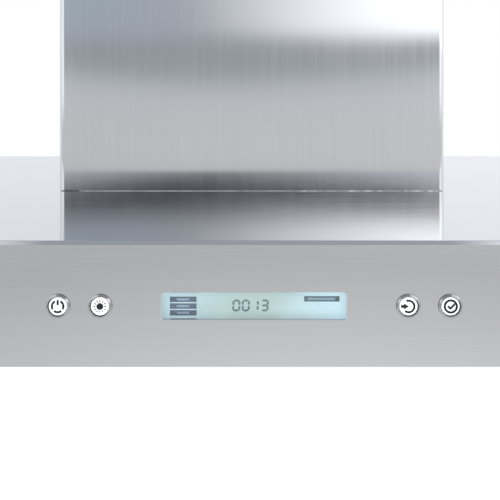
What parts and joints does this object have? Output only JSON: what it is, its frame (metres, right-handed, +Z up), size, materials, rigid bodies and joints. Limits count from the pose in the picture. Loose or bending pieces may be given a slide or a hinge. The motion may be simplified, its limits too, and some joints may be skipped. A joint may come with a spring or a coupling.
{
  "type": "island range hood",
  "caption": "Box-canopy island cooker hood with a telescoping chimney, front controls, hinged baffle filters, blower and damper.",
  "frame": {"origin": "centre of the ceiling plate's top face, in the ceiling plane, on the axis of the duct hole", "axes": "+Z up, +X to the right seen from the front, -Y towards the front rim with the controls"},
  "size_m": [1.067, 0.601, 0.862],
  "materials": {
    "brushed_steel": "satin stainless steel with a fine brushed grain",
    "filter_steel": "satin stainless steel, brushed along the baffles",
    "galvanised_sheet": "zinc-coated sheet with a faint spangle",
    "screw_steel": "polished stainless steel",
    "button_ring": "dark polished metal ring",
    "button_cap": "white satin plastic with a printed dark symbol",
    "display_glass": "clear window",
    "display_face": "pale cyan liquid crystal face with dark segments",
    "circuit_board": "green circuit board",
    "black_plastic": "black moulded plastic",
    "motor_alloy": "die-cast motor can",
    "lamp_trim": "polished trim ring",
    "lamp_glass": "frosted lamp glass"
  },
  "bodies": {
    "ceiling_frame": {"ceiling_plate": "galvanised_sheet", "upper_chimney_cover": "brushed_steel", "cover_screw_left": "screw_steel", "cover_screw_right": "screw_steel", "upper_post_front_left": "galvanised_sheet", "upper_post_front_right": "galvanised_sheet", "upper_post_rear_left": "galvanised_sheet", "upper_post_rear_right": "galvanised_sheet"},
    "canopy": {"blower_scroll": "galvanised_sheet", "blower_side_left": "galvanised_sheet", "blower_side_right": "galvanised_sheet", "blower_stand": "galvanised_sheet", "outlet_collar": "galvanised_sheet", "power_box": "galvanised_sheet", "post_brace_ring": "galvanised_sheet", "lower_post_front_left": "galvanised_sheet", "lamp_housing_front_left": "lamp_trim", "lamp_lens_front_left": "lamp_glass", "lower_post_front_right": "galvanised_sheet", "lamp_housing_front_right": "lamp_trim", "lamp_lens_front_right": "lamp_glass", "lower_post_rear_left": "galvanised_sheet", "lamp_housing_rear_left": "lamp_trim", "lamp_lens_rear_left": "lamp_glass", "lower_post_rear_right": "galvanised_sheet", "lamp_housing_rear_right": "lamp_trim", "lamp_lens_rear_right": "lamp_glass", "lower_chimney_cover": "brushed_steel", "canopy_shell": "brushed_steel", "bottom_panel": "brushed_steel", "damper_pin": "screw_steel", "filter_magnet_strip": "black_plastic", "control_housing": "black_plastic", "cable_gland": "black_plastic", "control_board": "circuit_board", "display_module": "display_face", "display_window": "display_glass", "button_ring_power": "button_ring", "tact_switch_power": "black_plastic", "button_ring_light": "button_ring", "tact_switch_light": "black_plastic", "button_ring_enter": "button_ring", "tact_switch_enter": "black_plastic", "button_ring_confirm": "button_ring", "tact_switch_confirm": "black_plastic", "blower_motor": "motor_alloy"},
    "button_power": {"button_cap_power": "button_cap"},
    "button_light": {"button_cap_light": "button_cap"},
    "button_enter": {"button_cap_enter": "button_cap"},
    "button_confirm": {"button_cap_confirm": "button_cap"},
    "filter_left": {"filter_left": "filter_steel"},
    "bail_left": {"filter_bail_left": "screw_steel"},
    "filter_centre": {"filter_centre": "filter_steel"},
    "bail_centre": {"filter_bail_centre": "screw_steel"},
    "filter_right": {"filter_right": "filter_steel"},
    "bail_right": {"filter_bail_right": "screw_steel"},
    "blower_wheel": {"blower_wheel": "black_plastic"},
    "flap_rear": {"damper_flap_rear": "black_plastic"},
    "flap_front": {"damper_flap_front": "black_plastic"}
  },
  "joints": [
    {"name": "height_adjust", "type": "slide", "parent": "ceiling_frame", "child": "canopy", "axis": [0, 0, 1], "range_m": [-0.12, 0.12]},
    {"name": "press_power", "type": "slide", "parent": "canopy", "child": "button_power", "axis": [0, 1, 0], "range_m": [0, 0.0012], "stiffness_N_per_m": 900, "springref_m": -0.0008},
    {"name": "press_light", "type": "slide", "parent": "canopy", "child": "button_light", "axis": [0, 1, 0], "range_m": [0, 0.0012], "stiffness_N_per_m": 900, "springref_m": -0.0008},
    {"name": "press_enter", "type": "slide", "parent": "canopy", "child": "button_enter", "axis": [0, 1, 0], "range_m": [0, 0.0012], "stiffness_N_per_m": 900, "springref_m": -0.0008},
    {"name": "press_confirm", "type": "slide", "parent": "canopy", "child": "button_confirm", "axis": [0, 1, 0], "range_m": [0, 0.0012], "stiffness_N_per_m": 900, "springref_m": -0.0008},
    {"name": "filter_left_swing", "type": "hinge", "parent": "canopy", "child": "filter_left", "pos_m": [-0.333, 0.16, -0.845], "axis": [1, 0, 0], "range_deg": [0, 75]},
    {"name": "bail_left_fold", "type": "hinge", "parent": "filter_left", "child": "bail_left", "pos_m": [-0.333, -0.159, -0.8519], "axis": [-1, 0, 0], "range_deg": [0, 90]},
    {"name": "filter_centre_swing", "type": "hinge", "parent": "canopy", "child": "filter_centre", "pos_m": [0, 0.16, -0.845], "axis": [1, 0, 0], "range_deg": [0, 75]},
    {"name": "bail_centre_fold", "type": "hinge", "parent": "filter_centre", "child": "bail_centre", "pos_m": [0, -0.159, -0.8519], "axis": [-1, 0, 0], "range_deg": [0, 90]},
    {"name": "filter_right_swing", "type": "hinge", "parent": "canopy", "child": "filter_right", "pos_m": [0.333, 0.16, -0.845], "axis": [1, 0, 0], "range_deg": [0, 75]},
    {"name": "bail_right_fold", "type": "hinge", "parent": "filter_right", "child": "bail_right", "pos_m": [0.333, -0.159, -0.8519], "axis": [-1, 0, 0], "range_deg": [0, 90]},
    {"name": "wheel_spin", "type": "hinge", "parent": "canopy", "child": "blower_wheel", "pos_m": [0, -0.023, -0.675], "axis": [1, 0, 0], "continuous": true},
    {"name": "flap_rear_lift", "type": "hinge", "parent": "canopy", "child": "flap_rear", "pos_m": [0, 0, -0.5412], "axis": [1, 0, 0], "range_deg": [0, 75]},
    {"name": "flap_front_lift", "type": "hinge", "parent": "canopy", "child": "flap_front", "pos_m": [0, 0, -0.5412], "axis": [-1, 0, 0], "range_deg": [0, 75]}
  ]
}
